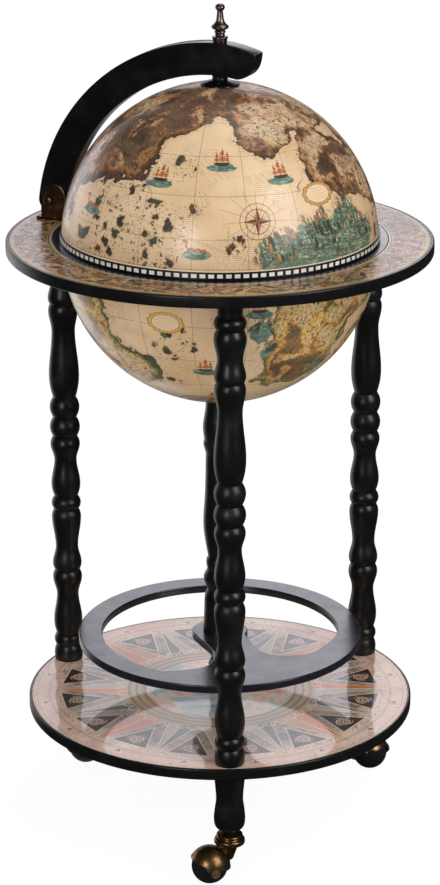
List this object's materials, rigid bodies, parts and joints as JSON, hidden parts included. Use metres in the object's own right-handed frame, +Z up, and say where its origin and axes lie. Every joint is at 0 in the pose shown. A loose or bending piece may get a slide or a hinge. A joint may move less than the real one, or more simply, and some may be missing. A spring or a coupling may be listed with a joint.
{
  "type": "floor globe bar",
  "caption": "Floor-standing globe cabinet: the map-covered upper half opens on a hinged meridian arm over a bowl for bottle and glasses, in a round table on turned legs with casters.",
  "frame": {"origin": "on the floor under the globe's polar axis, the centre of the bounding box's underside in plan", "axes": "+Z up, -Y towards the front leg and the picture's camera, +X to the right as seen in the picture"},
  "size_m": [0.445, 0.445, 0.8888],
  "materials": {
    "black_lacquer": "turned and cut wood under black satin lacquer",
    "globe_paper": "printed antique-style map on moulded fibreboard under gloss varnish",
    "ring_paper": "printed ornament sheet under gloss varnish",
    "shelf_paper": "printed star ornament sheet under gloss varnish",
    "scale_lacquer": "black lacquer with a printed white check scale",
    "deck_wood": "dark stained fibreboard, satin",
    "dark_bronze": "dark antique bronze plating",
    "antique_brass": "aged brass plating, worn bright at the edges",
    "zinc_steel": "zinc plated steel",
    "ball_plastic": "smooth black ball"
  },
  "bodies": {
    "frame": {"ring_table": "black_lacquer", "ring_print": "ring_paper", "inner_rim": "black_lacquer", "lower_bowl": "globe_paper", "glass_deck": "deck_wood", "bowl_screw": "zinc_steel", "column_upper": "black_lacquer", "bottle_ring": "black_lacquer", "column_lower": "black_lacquer", "column_stud": "zinc_steel", "shelf_screw": "zinc_steel", "lower_shelf": "black_lacquer", "shelf_print": "shelf_paper", "hinge_bracket": "dark_bronze", "hinge_pin": "dark_bronze", "hinge_screw_inner": "dark_bronze", "hinge_screw_outer": "dark_bronze", "leg_front": "black_lacquer", "leg_stud_front": "zinc_steel", "foot_front": "black_lacquer", "caster_cup_front": "antique_brass", "leg_right": "black_lacquer", "leg_stud_right": "zinc_steel", "foot_right": "black_lacquer", "caster_cup_right": "antique_brass", "leg_left": "black_lacquer", "leg_stud_left": "zinc_steel", "foot_left": "black_lacquer", "caster_cup_left": "antique_brass"},
    "lid": {"meridian_arm": "black_lacquer", "pole_bolt": "zinc_steel", "pole_spacer": "black_lacquer", "finial": "dark_bronze", "pole_washer": "zinc_steel", "pole_nut": "zinc_steel"},
    "dome": {"dome_shell": "globe_paper", "dome_rim": "scale_lacquer", "pole_cap": "black_lacquer"},
    "swivel_front": {"caster_hood_front": "antique_brass", "caster_axle_front": "antique_brass"},
    "ball_front": {"caster_ball_front": "ball_plastic"},
    "swivel_right": {"caster_hood_right": "antique_brass", "caster_axle_right": "antique_brass"},
    "ball_right": {"caster_ball_right": "ball_plastic"},
    "swivel_left": {"caster_hood_left": "antique_brass", "caster_axle_left": "antique_brass"},
    "ball_left": {"caster_ball_left": "ball_plastic"}
  },
  "joints": [
    {"name": "lid_hinge", "type": "hinge", "parent": "frame", "child": "lid", "pos_m": [-0.17666, 0.07865, 0.6658], "axis": [-0.4067, -0.9135, 0], "range_deg": [0, 95]},
    {"name": "dome_turn", "type": "hinge", "parent": "lid", "child": "dome", "pos_m": [0, 0, 0.806], "axis": [0, 0, 1], "continuous": true},
    {"name": "caster_swivel_front", "type": "hinge", "parent": "frame", "child": "swivel_front", "pos_m": [0.00994, -0.18974, 0.045], "axis": [0, 0, 1], "continuous": true},
    {"name": "caster_roll_front", "type": "hinge", "parent": "swivel_front", "child": "ball_front", "pos_m": [-0.01071, -0.19606, 0.019], "axis": [0.2924, -0.9563, 0], "continuous": true},
    {"name": "caster_swivel_right", "type": "hinge", "parent": "frame", "child": "swivel_right", "pos_m": [0.15935, 0.10348, 0.045], "axis": [0, 0, 1], "continuous": true},
    {"name": "caster_roll_right", "type": "hinge", "parent": "swivel_right", "child": "ball_right", "pos_m": [0.16959, 0.08446, 0.019], "axis": [0.8805, 0.4741, 0], "continuous": true},
    {"name": "caster_swivel_left", "type": "hinge", "parent": "frame", "child": "swivel_left", "pos_m": [-0.16929, 0.08626, 0.045], "axis": [0, 0, 1], "continuous": true},
    {"name": "caster_roll_left", "type": "hinge", "parent": "swivel_left", "child": "ball_left", "pos_m": [-0.15251, 0.09985, 0.019], "axis": [-0.6293, 0.7771, 0], "continuous": true}
  ]
}
